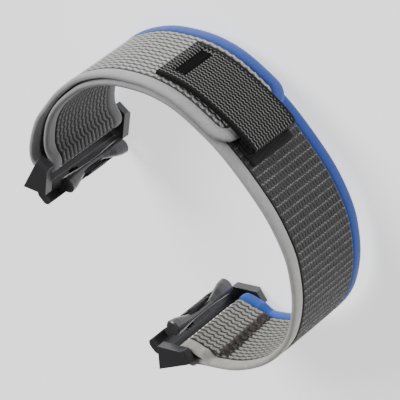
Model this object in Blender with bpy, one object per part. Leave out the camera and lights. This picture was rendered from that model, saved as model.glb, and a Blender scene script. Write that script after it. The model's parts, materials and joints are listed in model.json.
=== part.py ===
# Nylon hook-and-loop watch strap with a quick-release lug connector at each end.
# The strap lies on its side: X and Y span the loop, Z runs across the strap, grey edge up.
import math

import bmesh
import bpy
from mathutils import Vector

MM = 0.001

# Woven ribbon
BAND_WIDTH = 21.0 * MM
CORE_THICK = 1.2 * MM
EDGE_THICK = 1.3 * MM
EDGE_WIDTH = 2.7 * MM
EDGE_ROUND = 0.4 * MM
TIP_RADIUS = 4.6 * MM
JOIN_GAP = 0.06 * MM
LAYER_GAP = 0.3 * MM

# Loop round the wrist, from the centre between the two connectors; it rises past each bar
LOOP_REACH = 26.9 * MM
LOOP_RISE = 8.65 * MM
OVERLAP_LENGTH = 63.0 * MM
OVERLAP_SETTLE = 16.5 * MM
SEAM_FROM_BAR = 8.4 * MM
SEAM_LENGTH = 2.6 * MM
SEAM_THICK = 0.9 * MM

# Pull tab on the free end
TAB_WIDTH = 12.3 * MM
TAB_THICK = 0.9 * MM
TAB_GAP = 0.2 * MM
TAB_ON_TONGUE = 19.0 * MM
TAB_PAST_TONGUE = 2.9 * MM
TAB_RETURN = 2.4 * MM
TAB_FOLD_INSET = 0.3 * MM
SLOT_FROM_END = 1.9 * MM
SLOT_LENGTH = 2.4 * MM
SLOT_WIDTH = 8.6 * MM
PATCH_THICK = 0.5 * MM
PATCH_MARGIN = 0.1 * MM
HOOK_THICK = 0.6 * MM
HOOK_GAP = 0.2 * MM
HOOK_SHOWS = 2.0 * MM
HOOK_INSET = 0.2 * MM

# Strap bar, and its place from the centre between the connectors
BAR_BACK = 20.6 * MM
BAR_APART = 48.0 * MM
BAR_RADIUS = 0.55 * MM
BAR_TIP_RADIUS = 0.35 * MM
BAR_TIP_LENGTH = 1.2 * MM
BAR_CLEARANCE = 0.3 * MM
PIN_CLEARANCE = 0.05 * MM

# Connector frame, measured from the strap bar: X away from the watch's face, Y away from the watch
BAND_SIDE_GAP = 0.4 * MM
HORN_THICK = 1.9 * MM
HORN_LENGTH = 9.9 * MM
HORN_HEIGHT = 6.5 * MM
HORN_CHAMFER = 0.6 * MM
WALL_BACK = 6.85 * MM
WALL_FRONT = 4.95 * MM
WALL_FOOT = 7.05 * MM
WALL_TOP = 3.5 * MM
WALL_ROUND = 1.2 * MM
WALL_BEVEL = 0.2 * MM
RIB_BACK = 6.15 * MM
RIB_FRONT = 5.2 * MM
RIB_TOP = 2.3 * MM

# Waisted plug in front of the frame's wall
PLUG_LENGTH = 17.4 * MM
PLUG_END_RADIUS = 1.75 * MM
PLUG_WAIST_RADIUS = 0.55 * MM
PLUG_WAIST_SHARE = 0.15
PLUG_BACK = 1.6 * MM
PLUG_END_Y = 6.2 * MM
PLUG_WAIST_Y = 5.45 * MM
PLUG_CHAMFER = 0.3 * MM
FOOT_LENGTH = 3.0 * MM
FOOT_HEIGHT = 1.7 * MM
SEAT_GAP = 0.1 * MM

# Two screws hold the plug's feet to the wall
SCREW_SPACING = 13.6 * MM
SCREW_RADIUS = 0.45 * MM
SCREW_HEAD_RADIUS = 0.75 * MM
SCREW_HEAD_HEIGHT = 0.6 * MM
SCREW_SINK = 0.25 * MM
SCREW_SOCKET_RADIUS = 0.38 * MM
SCREW_SOCKET_DEPTH = 0.35 * MM
SCREW_GRIP = 2.2 * MM

# Release button between the plug's waist and the wall, and its two return springs
BUTTON_WIDTH = 5.0 * MM
BUTTON_THICK = 1.6 * MM
BUTTON_TOP = 4.1 * MM
BUTTON_FOOT = 6.95 * MM
LIP_FRONT = 0.6 * MM
LIP_THICK = 0.35 * MM
LIP_RIDGE = 0.22 * MM
LUG_WIDTH = 1.1 * MM
LUG_HEIGHT = 0.5 * MM
LUG_DEPTH = 1.0 * MM
LUG_LOW = 6.5 * MM
POCKET_SIDE = 0.15 * MM
POCKET_TOP = 3.95 * MM
SPRING_RADIUS = 0.36 * MM
SPRING_WIRE = 0.08 * MM
SPRING_TURNS = 4
SPRING_SEAT = 0.06 * MM

OVERRUN = 1.0 * MM
WELD = 0.001 * MM
STATION_GAP = 0.3 * MM

# The bars' places as shares of the loop's reach and half height; the centrelines use them
BAR_BACK_SHARE = 0.7658
BAR_APART_SHARE = 0.73507
# Centreline of the flap inside the lower end, as shares of the loop's reach and half height
FLAP_SHARES = ((-0.498, -0.850), (-0.558, -0.793), (-0.628, -0.732), (-0.691, -0.697))
# Centreline of the wrist run, lower end first
RUN_SHARES = (
    (-0.708, -0.812), (-0.426, -0.940), (-0.139, -1.000), (0.108, -0.998), (0.346, -0.949),
    (0.580, -0.833), (0.755, -0.692), (0.885, -0.533), (0.974, -0.306), (1.000, -0.058),
    (0.993, 0.153), (0.954, 0.319), (0.888, 0.490), (0.796, 0.619), (0.658, 0.738),
    (0.428, 0.870), (0.167, 0.946), (-0.056, 0.962), (-0.257, 0.954), (-0.431, 0.919),
    (-0.569, 0.861), (-0.662, 0.799),
)
# Centreline of the returning layer where it stands off the run, from the upper bar on
RETURN_SHARES = (
    (-0.866, 0.730), (-0.900, 0.778), (-0.850, 0.838), (-0.721, 0.904), (-0.554, 0.961),
    (-0.401, 0.985),
)
# Where the ribbon meets each bar's fold and leaves it, as angles round the bar
LOWER_MEET = math.radians(75.0)
LOWER_LEAVE = math.radians(236.0)
UPPER_MEET = math.radians(345.0)
UPPER_LEAVE = math.radians(240.0)
# Horn outline, as shares of its length and height
HORN_SHARES = ((-0.788, -0.169), (0.161, 0.200), (0.212, -0.235), (-0.358, -0.800))

TURN_STEP = math.radians(5.0)
FOLD_STEPS = 8
ROUND_STEPS = 24
HALF_BAND = BAND_WIDTH / 2
HALF_FRAME = HALF_BAND + BAND_SIDE_GAP + HORN_THICK
FOLD_RADIUS = BAR_RADIUS + BAR_CLEARANCE + EDGE_THICK / 2
LAYER_STEP = EDGE_THICK + LAYER_GAP


# Clear the scene
for old in list(bpy.data.objects):
    bpy.data.objects.remove(old, do_unlink=True)


def material(name, colour, roughness, metallic=0.0):
    mat = bpy.data.materials.new(name)
    mat.use_nodes = True
    shader = mat.node_tree.nodes["Principled BSDF"]
    shader.inputs["Base Color"].default_value = (*colour, 1.0)
    shader.inputs["Roughness"].default_value = roughness
    shader.inputs["Metallic"].default_value = metallic
    return mat


WEAVE_GREY = material("weave_grey", (0.17, 0.17, 0.17), 0.9)
EDGE_GREY = material("edge_grey", (0.42, 0.42, 0.41), 0.85)
EDGE_BLUE = material("edge_blue", (0.07, 0.16, 0.50), 0.85)
TAB_BLACK = material("tab_black", (0.02, 0.02, 0.02), 0.85)
PATCH_BLACK = material("patch_black", (0.008, 0.008, 0.008), 0.4)
HOOK_BLACK = material("hook_black", (0.05, 0.05, 0.05), 0.8)
THREAD_BROWN = material("thread_brown", (0.09, 0.07, 0.065), 0.9)
SATIN_BLACK = material("satin_black_metal", (0.03, 0.03, 0.032), 0.35, 0.6)
BUTTON_BLACK = material("button_black_metal", (0.05, 0.05, 0.052), 0.4, 0.6)
BARE_STEEL = material("bare_steel", (0.45, 0.45, 0.46), 0.3, 1.0)


def solid(name, bm, mat, parent=None):
    bmesh.ops.recalc_face_normals(bm, faces=bm.faces[:])
    if bm.calc_volume(signed=True) < 0:
        bmesh.ops.reverse_faces(bm, faces=bm.faces[:])
    mesh = bpy.data.meshes.new(name)
    bm.to_mesh(mesh)
    bm.free()
    mesh.materials.append(mat)
    mesh.shade_smooth()
    mesh.set_sharp_from_angle(angle=math.radians(35.0))
    obj = bpy.data.objects.new(name, mesh)
    bpy.context.collection.objects.link(obj)
    obj.parent = parent
    return obj


def empty(name, place, parent=None):
    obj = bpy.data.objects.new(name, None)
    bpy.context.collection.objects.link(obj)
    obj.location = place
    obj.parent = parent
    return obj


def prism(bm, outline, low, high, axes="xyz"):
    """Extrude an outline in the first two axes along the third one."""
    order = ["xyz".index(a) for a in axes]

    def point(a, b, c):
        co = [0.0, 0.0, 0.0]
        for axis, value in zip(order, (a, b, c)):
            co[axis] = value
        return co

    bottom = [bm.verts.new(point(a, b, low)) for a, b in outline]
    top = [bm.verts.new(point(a, b, high)) for a, b in outline]
    faces = [bm.faces.new(bottom[::-1]), bm.faces.new(top)]
    count = len(outline)
    for i in range(count):
        j = (i + 1) % count
        faces.append(bm.faces.new((bottom[i], bottom[j], top[j], top[i])))
    bmesh.ops.recalc_face_normals(bm, faces=faces)
    return bottom, top


def arc(centre, radius, start, end, steps):
    return [
        (centre[0] + radius * math.cos(start + (end - start) * i / steps),
         centre[1] + radius * math.sin(start + (end - start) * i / steps))
        for i in range(steps + 1)
    ]


def boolean(obj, cutter, operation):
    """Apply one exact Boolean and remove the tool object."""
    cutter.parent = obj.parent
    mod = obj.modifiers.new(operation.lower(), "BOOLEAN")
    mod.object = cutter
    mod.operation = operation
    mod.solver = "EXACT"
    bpy.context.view_layer.update()
    graph = bpy.context.evaluated_depsgraph_get()
    result = bpy.data.meshes.new_from_object(obj.evaluated_get(graph))
    obj.modifiers.clear()
    old = obj.data
    obj.data = result
    bpy.data.meshes.remove(old)
    bpy.data.objects.remove(cutter, do_unlink=True)
    obj.data.set_sharp_from_angle(angle=math.radians(35.0))


def tool(bm):
    return solid("tool", bm, SATIN_BLACK)


def join(obj, bm):
    boolean(obj, tool(bm), "UNION")


def cut(obj, bm):
    boolean(obj, tool(bm), "DIFFERENCE")


def box(low, high):
    bm = bmesh.new()
    outline = [(low[0], low[1]), (high[0], low[1]), (high[0], high[1]), (low[0], high[1])]
    prism(bm, outline, low[2], high[2])
    return bm


def rod(radius, low, high, along, centre, steps=ROUND_STEPS):
    """A round rod along one axis; centre gives its place in the other two."""
    bm = bmesh.new()
    axes = {"x": "yzx", "y": "xzy", "z": "xyz"}[along]
    prism(bm, arc(centre, radius, 0.0, math.tau * (steps - 1) / steps, steps - 1), low, high, axes)
    return bm


class Route:
    """A strip's centreline in the loop's plane, with a normal at each point."""

    def __init__(self, points):
        self.points = points
        self.stations = [0.0]
        for before, after in zip(points, points[1:]):
            self.stations.append(self.stations[-1] + (after - before).length)
        self.normals = []
        for i in range(len(points)):
            ahead = Vector((0.0, 0.0))
            if i > 0:
                ahead += (points[i] - points[i - 1]).normalized()
            if i < len(points) - 1:
                ahead += (points[i + 1] - points[i]).normalized()
            ahead.normalize()
            self.normals.append(Vector((ahead.y, -ahead.x)))
        self.length = self.stations[-1]

    def at(self, distance):
        distance = min(max(distance, 0.0), self.length)
        i = 0
        while i < len(self.stations) - 2 and self.stations[i + 1] < distance:
            i += 1
        step = self.stations[i + 1] - self.stations[i]
        share = (distance - self.stations[i]) / step
        place = self.points[i].lerp(self.points[i + 1], share)
        normal = self.normals[i].lerp(self.normals[i + 1], share).normalized()
        return place, normal

    def offset(self, distance, outward):
        place, normal = self.at(distance)
        return place + normal * outward


def spline(points, steps=12):
    """Catmull-Rom curve through the points."""
    ends = [points[0] * 2 - points[1]] + points + [points[-1] * 2 - points[-2]]
    curve = []
    for a, b, c, d in zip(ends, ends[1:], ends[2:], ends[3:]):
        for i in range(steps):
            t = i / steps
            curve.append(
                (b * 2 + (c - a) * t + (a * 2 - b * 5 + c * 4 - d) * t * t
                 + (b * 3 - a - c * 3 + d) * t * t * t) / 2
            )
    curve.append(points[-1].copy())
    return curve


def thin(points):
    """Keep a point wherever the curve has turned by one step."""
    kept = [points[0]]
    turned = 0.0
    for before, here, after in zip(points, points[1:], points[2:]):
        first, second = here - before, after - here
        turned += abs(first.angle_signed(second, 0.0))
        if turned >= TURN_STEP:
            kept.append(here)
            turned = 0.0
    kept.append(points[-1])
    return kept


def around(centre, start, end, steps):
    return [Vector(p) for p in arc(centre, FOLD_RADIUS, start, end, steps)]


def from_shares(shares):
    """Points of a centreline; those beside a bar keep their place from it."""
    points = []
    for across, along in shares:
        depth = (across + BAR_BACK_SHARE) / (1 + BAR_BACK_SHARE)
        past = (abs(along) - BAR_APART_SHARE) / (1 - BAR_APART_SHARE)
        height = BAR_APART / 2 + past * LOOP_RISE
        if past < 0:
            height = abs(along) / BAR_APART_SHARE * BAR_APART / 2
        points.append(Vector((-BAR_BACK + depth * (LOOP_REACH + BAR_BACK), math.copysign(height, along))))
    return points


LOWER_FOLD = around((-BAR_BACK, -BAR_APART / 2), LOWER_MEET, LOWER_LEAVE, FOLD_STEPS)
UPPER_FOLD = around((-BAR_BACK, BAR_APART / 2), UPPER_MEET, UPPER_LEAVE, FOLD_STEPS)
RUN = Route(thin(spline([LOWER_FOLD[-1]] + from_shares(RUN_SHARES) + [UPPER_FOLD[0]])))
TIP_STATION = RUN.length - OVERLAP_LENGTH


def ribbon_route():
    """Flap end, lower bar, wrist run, upper bar and back over the outside to the tip."""
    flap = thin(spline(from_shares(FLAP_SHARES) + [LOWER_FOLD[0]]))
    laid = RUN.length - OVERLAP_SETTLE
    stations = [s for s in RUN.stations if TIP_STATION + STATION_GAP < s < laid] + [TIP_STATION]
    back = [RUN.offset(s, LAYER_STEP) for s in sorted(stations, reverse=True)]
    loose = thin(spline([UPPER_FOLD[-1]] + from_shares(RETURN_SHARES) + [back[0]]))
    return Route(flap[:-1] + LOWER_FOLD + RUN.points[1:-1] + UPPER_FOLD + loose[1:-1] + back)


RIBBON = ribbon_route()


def strip(outline, thick, route, rim=(), rim_radius=0.0, raised=0.0):
    """Cut a flat pattern (distance, width), give it thickness and bend it along its route."""
    bm = bmesh.new()
    pairs = [(u, z) for u, z in outline]
    bottom, top = prism(bm, pairs, raised - thick / 2, raised + thick / 2, "xzy")
    if rim:
        edges = []
        for ring in (bottom, top):
            for i in rim:
                edge = bm.edges.get((ring[i], ring[(i + 1) % len(ring)]))
                edges.append(edge)
        bmesh.ops.bevel(bm, geom=edges, offset=rim_radius, segments=2, profile=0.5, affect="EDGES")
    for station in route.stations[1:-1]:
        bmesh.ops.bisect_plane(
            bm, geom=bm.verts[:] + bm.edges[:] + bm.faces[:], dist=WELD,
            plane_co=(station, 0, 0), plane_no=(1, 0, 0),
        )
    for vert in bm.verts:
        place, normal = route.at(vert.co.x)
        bent = place + normal * vert.co.y
        vert.co = (bent.x, bent.y, vert.co.z)
    return bm


def make_ribbon(root):
    """Woven core, with a grey binding on one edge and a blue one on the other."""
    end = RIBBON.length
    inner = HALF_BAND - EDGE_WIDTH
    corner = TIP_RADIUS - EDGE_WIDTH
    core_edge = inner - JOIN_GAP
    core_end = end - EDGE_WIDTH - JOIN_GAP
    core_corner = corner - JOIN_GAP
    turn = math.pi / 2
    core = [(0.0, -core_edge)]
    core += arc((end - TIP_RADIUS, -HALF_BAND + TIP_RADIUS), core_corner, -turn, 0.0, 4)
    core += arc((end - TIP_RADIUS, HALF_BAND - TIP_RADIUS), core_corner, 0.0, turn, 4)
    core += [(0.0, core_edge)]
    solid("ribbon_core", strip(core, CORE_THICK, RIBBON), WEAVE_GREY, root)
    for side, name, mat in ((1, "grey_edge_binding", EDGE_GREY), (-1, "blue_edge_binding", EDGE_BLUE)):
        centre = (end - TIP_RADIUS, HALF_BAND - TIP_RADIUS)
        outer = [(0.0, HALF_BAND)] + arc(centre, TIP_RADIUS, turn, 0.0, 6) + [(end, JOIN_GAP)]
        inside = [(end - EDGE_WIDTH, JOIN_GAP)] + arc(centre, corner, 0.0, turn, 4) + [(0.0, inner)]
        outline = [(u, side * z) for u, z in outer + inside]
        rim = range(len(outer) - 1)
        solid(name, strip(outline, EDGE_THICK, RIBBON, rim, EDGE_ROUND), mat, root)


def run_route(start, end, offsets, extra=()):
    """Part of the wrist run, offset outward, from one distance to another."""
    low, high = min(start, end), max(start, end)
    stations = [start] + sorted(
        (s for s in RUN.stations if low + STATION_GAP < s < high - STATION_GAP), reverse=end < start
    ) + [end]
    points = [
        RUN.offset(s, offsets[0] + (offsets[1] - offsets[0]) * (s - start) / (end - start))
        for s in stations
    ]
    return Route(points + list(extra))


def make_end_seam(root):
    """Close zigzag stitching that holds the folded end down on the inside."""
    inset = -(CORE_THICK + SEAM_THICK) / 2 - JOIN_GAP
    start = SEAM_FROM_BAR
    route = run_route(start, start + SEAM_LENGTH, (inset, inset))
    reach = HALF_BAND - EDGE_WIDTH - JOIN_GAP
    outline = [(0.0, -reach), (route.length, -reach), (route.length, reach), (0.0, reach)]
    solid("end_seam_stitching", strip(outline, SEAM_THICK, route), THREAD_BROWN, root)


def make_pull_tab(root):
    """Black webbing over the tongue, folded under at its free end, with a pressed slot."""
    over = LAYER_STEP + EDGE_THICK / 2 + TAB_GAP + TAB_THICK / 2
    under = EDGE_THICK / 2 + HOOK_GAP + HOOK_THICK + HOOK_GAP + TAB_THICK / 2
    outer = under + TAB_THICK + TAB_FOLD_INSET
    start, end = TIP_STATION + TAB_ON_TONGUE, TIP_STATION - TAB_PAST_TONGUE
    place, normal = RUN.at(end)
    ahead = Vector((normal.y, -normal.x))
    middle = place + normal * (outer + under) / 2
    radius = (outer - under) / 2
    fold = []
    for i in range(1, FOLD_STEPS):
        angle = math.pi * i / FOLD_STEPS
        fold.append(middle + normal * radius * math.cos(angle) + ahead * radius * math.sin(angle))
    back = [RUN.offset(end + TAB_RETURN * i / 2, under) for i in range(3)]
    route = run_route(start, end, (over, outer), fold + back)
    half = TAB_WIDTH / 2
    outline = [(0.0, -half), (route.length, -half), (route.length, half), (0.0, half)]
    tab = solid("pull_tab_webbing", strip(outline, TAB_THICK, route), TAB_BLACK, root)
    slot_end = start - SLOT_FROM_END
    slot_route = run_route(slot_end - SLOT_LENGTH, slot_end, (over, over))
    wide = SLOT_WIDTH / 2
    hole = [(0.0, -wide), (slot_route.length, -wide), (slot_route.length, wide), (0.0, wide)]
    cut(tab, strip(hole, TAB_THICK + OVERRUN, slot_route))
    small = wide - PATCH_MARGIN
    patch = [
        (PATCH_MARGIN, -small), (slot_route.length - PATCH_MARGIN, -small),
        (slot_route.length - PATCH_MARGIN, small), (PATCH_MARGIN, small),
    ]
    sunk = -(TAB_THICK - PATCH_THICK) / 2
    solid("tab_slot_patch", strip(patch, PATCH_THICK, slot_route, raised=sunk), PATCH_BLACK, root)


def make_hook_pad(root):
    """Hook tape under the tab; it grips the loops on the outside of the strap."""
    level = EDGE_THICK / 2 + HOOK_GAP + HOOK_THICK / 2
    start = TIP_STATION - LAYER_GAP
    end = TIP_STATION - TAB_PAST_TONGUE - TAB_THICK - HOOK_SHOWS
    route = run_route(start, end, (level, level))
    half = TAB_WIDTH / 2 - HOOK_INSET
    outline = [(0.0, -half), (route.length, -half), (route.length, half), (0.0, half)]
    solid("hook_pad", strip(outline, HOOK_THICK, route), HOOK_BLACK, root)


def make_frame(prefix, pivot):
    """Cast frame: a horn on each side and the round-backed wall between, with a rib along its top."""
    inner = HALF_FRAME - HORN_THICK
    round_x = -WALL_BACK + WALL_ROUND
    rib_turn = math.acos(-(round_x + RIB_BACK) / WALL_ROUND)
    wall = arc((round_x, -WALL_TOP - WALL_ROUND), WALL_ROUND, rib_turn, math.pi, 4)
    wall += arc((round_x, -WALL_FOOT + WALL_ROUND), WALL_ROUND, math.pi, math.pi * 1.5, 6)
    wall += [(-WALL_FRONT, -WALL_FOOT), (-WALL_FRONT, -WALL_TOP - WALL_BEVEL)]
    wall += [(-WALL_FRONT - WALL_BEVEL, -WALL_TOP), (-RIB_FRONT, -WALL_TOP)]
    wall += [(-RIB_FRONT, -RIB_TOP), (-RIB_BACK, -RIB_TOP)]
    bm = bmesh.new()
    wall_end = inner + HORN_THICK / 2
    prism(bm, wall, -wall_end, wall_end)
    frame = solid(prefix + "_connector_frame", bm, SATIN_BLACK, pivot)
    horn = [(x * HORN_LENGTH, y * HORN_HEIGHT) for x, y in HORN_SHARES]
    for side in (-1, 1):
        low, high = sorted((side * inner, side * HALF_FRAME))
        bm = bmesh.new()
        bottom, top = prism(bm, horn, low, high)
        face = top if side > 0 else bottom
        crest = bm.edges.get((face[1], face[2]))
        bmesh.ops.bevel(bm, geom=[crest], offset=HORN_CHAMFER, segments=1, profile=0.5, affect="EDGES")
        join(frame, bm)
        low, high = sorted((side * inner, side * wall_end))
        root_low = (-WALL_BACK + WALL_ROUND / 2, -WALL_TOP - WALL_ROUND, low)
        join(frame, box(root_low, (-WALL_FRONT, -RIB_TOP, high)))
    hole = BAR_TIP_RADIUS + PIN_CLEARANCE
    reach = inner + BAR_TIP_LENGTH + PIN_CLEARANCE
    cut(frame, rod(hole, -reach, reach, "z", (0.0, 0.0)))
    for side in (-1, 1):
        place = (-PLUG_END_Y, side * SCREW_SPACING / 2)
        cut(frame, rod(SCREW_RADIUS + PIN_CLEARANCE, -WALL_BACK - OVERRUN, OVERRUN, "x", place))
        sink = SCREW_HEAD_HEIGHT + PIN_CLEARANCE
        back = -WALL_BACK + sink + SCREW_SINK
        cut(frame, rod(SCREW_HEAD_RADIUS + PIN_CLEARANCE, -WALL_BACK - OVERRUN, back, "x", place))
        near = side * (BUTTON_WIDTH / 2 - LIP_RIDGE - POCKET_SIDE)
        away = side * (BUTTON_WIDTH / 2 + LUG_WIDTH + POCKET_SIDE)
        low = (-WALL_FRONT - LUG_DEPTH - POCKET_SIDE, -WALL_FOOT - OVERRUN, min(near, away))
        high = (-WALL_FRONT + OVERRUN, -POCKET_TOP, max(near, away))
        cut(frame, box(low, high))
    return frame


def make_bar(prefix, pivot):
    """Turned pin with a thin tip at each end, held in the horns; the ribbon turns on it."""
    reach = HALF_FRAME - HORN_THICK - PIN_CLEARANCE
    bm = bmesh.new()
    profile = [
        (BAR_TIP_RADIUS, -reach - BAR_TIP_LENGTH), (BAR_TIP_RADIUS, -reach),
        (BAR_RADIUS, -reach), (BAR_RADIUS, reach),
        (BAR_TIP_RADIUS, reach), (BAR_TIP_RADIUS, reach + BAR_TIP_LENGTH),
    ]
    loft(bm, [(z, (0.0, 0.0), r) for r, z in profile], ROUND_STEPS)
    return solid(prefix + "_strap_bar", bm, BARE_STEEL, pivot)


def loft(bm, sections, steps):
    """Skin round sections, each (height, centre, radius), and close both ends."""
    rings = []
    for height, centre, radius in sections:
        ring = []
        for i in range(steps):
            angle = math.tau * i / steps
            x = centre[0] + radius * math.cos(angle)
            y = centre[1] + radius * math.sin(angle)
            ring.append(bm.verts.new((x, y, height)))
        rings.append(ring)
    for lower, upper in zip(rings, rings[1:]):
        for i in range(steps):
            j = (i + 1) % steps
            bm.faces.new((lower[i], lower[j], upper[j], upper[i]))
    bm.faces.new(rings[0][::-1])
    bm.faces.new(rings[-1])


def make_plug(prefix, pivot):
    """Waisted plug that fills the watch's recess, with a foot behind each thick end."""
    half = PLUG_LENGTH / 2
    sections = [(-half, (-PLUG_BACK, -PLUG_END_Y), PLUG_END_RADIUS - PLUG_CHAMFER)]
    count = 12
    for i in range(count + 1):
        share = 2 * i / count - 1
        flare = max(0.0, abs(share) - PLUG_WAIST_SHARE) / (1 - PLUG_WAIST_SHARE)
        swell = 0.5 - 0.5 * math.cos(math.pi * flare)
        radius = PLUG_WAIST_RADIUS + (PLUG_END_RADIUS - PLUG_WAIST_RADIUS) * swell
        y = -PLUG_WAIST_Y - (PLUG_END_Y - PLUG_WAIST_Y) * swell
        sections.append((share * (half - PLUG_CHAMFER), (-PLUG_BACK, y), radius))
    sections.append((half, (-PLUG_BACK, -PLUG_END_Y), PLUG_END_RADIUS - PLUG_CHAMFER))
    bm = bmesh.new()
    loft(bm, sections, ROUND_STEPS)
    plug = solid(prefix + "_saddle_plug", bm, SATIN_BLACK, pivot)
    for side in (-1, 1):
        middle = side * SCREW_SPACING / 2
        low = (-WALL_FRONT + SEAT_GAP, -PLUG_END_Y - FOOT_HEIGHT / 2, middle - FOOT_LENGTH / 2)
        high = (-PLUG_BACK, -PLUG_END_Y + FOOT_HEIGHT / 2, middle + FOOT_LENGTH / 2)
        join(plug, box(low, high))
        place = (-PLUG_END_Y, middle)
        depth = -WALL_FRONT + SCREW_GRIP + PIN_CLEARANCE
        cut(plug, rod(SCREW_RADIUS + PIN_CLEARANCE, -WALL_FRONT - OVERRUN, depth, "x", place))
    return plug


def ends(prefix):
    """The two ends of a connector, named after the ribbon's edges."""
    up = 1 if prefix == "upper" else -1
    return ((up, "grey_side"), (-up, "blue_side"))


def make_screws(prefix, pivot):
    """Socket-head screws from the frame's back into the plug's feet."""
    seat = -WALL_BACK + SCREW_HEAD_HEIGHT + SCREW_SINK
    for side, end in ends(prefix):
        place = (-PLUG_END_Y, side * SCREW_SPACING / 2)
        head = seat - SCREW_HEAD_HEIGHT
        screw = solid(
            f"{prefix}_plug_screw_{end}",
            rod(SCREW_HEAD_RADIUS, head, seat, "x", place), BARE_STEEL, pivot,
        )
        join(screw, rod(SCREW_RADIUS, seat - SCREW_HEAD_HEIGHT / 2, -WALL_FRONT + SCREW_GRIP, "x", place))
        cut(screw, rod(SCREW_SOCKET_RADIUS, head - OVERRUN, head + SCREW_SOCKET_DEPTH, "x", place, 6))


def make_button(prefix, pivot):
    """Sliding release button: plate, ridged finger lip and a lug for each spring."""
    slide = empty(prefix + "_button_slide", (0.0, 0.0, 0.0), pivot)
    half = BUTTON_WIDTH / 2
    back = -WALL_FRONT + SEAT_GAP
    front = back + BUTTON_THICK
    lip_low = BUTTON_FOOT
    lip_top = lip_low - LIP_THICK
    side_view = [(back, -BUTTON_TOP), (back, -lip_low), (-LIP_FRONT, -lip_low)]
    side_view += [(-LIP_FRONT, -lip_low + LIP_THICK / 2), (front, -lip_top)]
    side_view += [(front, -BUTTON_TOP)]
    bm = bmesh.new()
    prism(bm, side_view, -half, half)
    button = solid(prefix + "_release_button", bm, BUTTON_BLACK, slide)
    ridges = 3
    for i in range(ridges):
        x = front + (-LIP_FRONT - front) * (i + 0.5) / ridges
        low = (x - LIP_RIDGE / 2, -lip_low - LIP_RIDGE, -half + LIP_RIDGE)
        high = (x + LIP_RIDGE / 2, -lip_low + LIP_THICK / 3, half - LIP_RIDGE)
        join(button, box(low, high))
    for side in (-1, 1):
        z = sorted((side * (half - LIP_RIDGE), side * (half + LUG_WIDTH)))
        low = (-WALL_FRONT - LUG_DEPTH, -LUG_LOW, z[0])
        high = (front - BUTTON_THICK / 3, -LUG_LOW + LUG_HEIGHT, z[1])
        join(button, box(low, high))
    return button


def make_springs(prefix, pivot):
    """Coil springs that push the button back towards the watch."""
    low = -LUG_LOW + LUG_HEIGHT + SPRING_SEAT + SPRING_WIRE
    high = -POCKET_TOP - SPRING_SEAT - SPRING_WIRE
    steps = 10
    for side, end in ends(prefix):
        z = side * (BUTTON_WIDTH + LUG_WIDTH) / 2
        x = -WALL_FRONT - LUG_DEPTH / 2
        bm = bmesh.new()
        rings = []
        count = SPRING_TURNS * steps
        for i in range(count + 1):
            angle = math.tau * i / steps
            radial = Vector((math.cos(angle), 0.0, math.sin(angle)))
            middle = Vector((x, low + (high - low) * i / count, z)) + radial * SPRING_RADIUS
            ring = []
            for k in range(6):
                turn = math.tau * k / 6
                ring.append(bm.verts.new(
                    middle + radial * SPRING_WIRE * math.cos(turn)
                    + Vector((0.0, SPRING_WIRE * math.sin(turn), 0.0))
                ))
            rings.append(ring)
        for lower, upper in zip(rings, rings[1:]):
            for k in range(6):
                m = (k + 1) % 6
                bm.faces.new((lower[k], lower[m], upper[m], upper[k]))
        bm.faces.new(rings[0][::-1])
        bm.faces.new(rings[-1])
        solid(f"{prefix}_button_spring_{end}", bm, BARE_STEEL, pivot)


def make_connector(prefix, side, root):
    """One connector; the lower one is the same part turned over about X."""
    pivot = empty(prefix + "_bar_axis", (-BAR_BACK, side * BAR_APART / 2, 0.0), root)
    pivot.rotation_euler = (0.0 if side > 0 else math.pi, 0.0, 0.0)
    make_frame(prefix, pivot)
    make_bar(prefix, pivot)
    make_plug(prefix, pivot)
    make_screws(prefix, pivot)
    make_button(prefix, pivot)
    make_springs(prefix, pivot)


def settle_on_floor(root):
    """Move the whole part so that its box stands centred on the origin."""
    bpy.context.view_layer.update()
    corners = [
        obj.matrix_world @ vert.co
        for obj in bpy.data.objects if obj.type == "MESH" for vert in obj.data.vertices
    ]
    for axis in range(3):
        low = min(corner[axis] for corner in corners)
        high = max(corner[axis] for corner in corners)
        root.location[axis] = -low if axis == 2 else -(low + high) / 2
    bpy.context.view_layer.update()


ROOT = empty("strap", (0.0, 0.0, 0.0))
make_ribbon(ROOT)
make_end_seam(ROOT)
make_pull_tab(ROOT)
make_hook_pad(ROOT)
make_connector("upper", 1, ROOT)
make_connector("lower", -1, ROOT)
settle_on_floor(ROOT)
for axis_empty in bpy.data.objects:
    if axis_empty.type == "EMPTY":
        place = [round(v / MM, 3) for v in axis_empty.matrix_world.translation]
        print(axis_empty.name, "at", place, "mm")
print("ribbon length", round(RIBBON.length / MM, 1), "mm; wrist run", round(RUN.length / MM, 1), "mm")
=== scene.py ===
# A woven nylon watch strap that lies on its side, closed in a loop, with a black metal
# connector at each end. The sections follow the order in which such a strap is put together.
import json
import math

import bmesh
import bpy
from mathutils import Matrix, Vector


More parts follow.
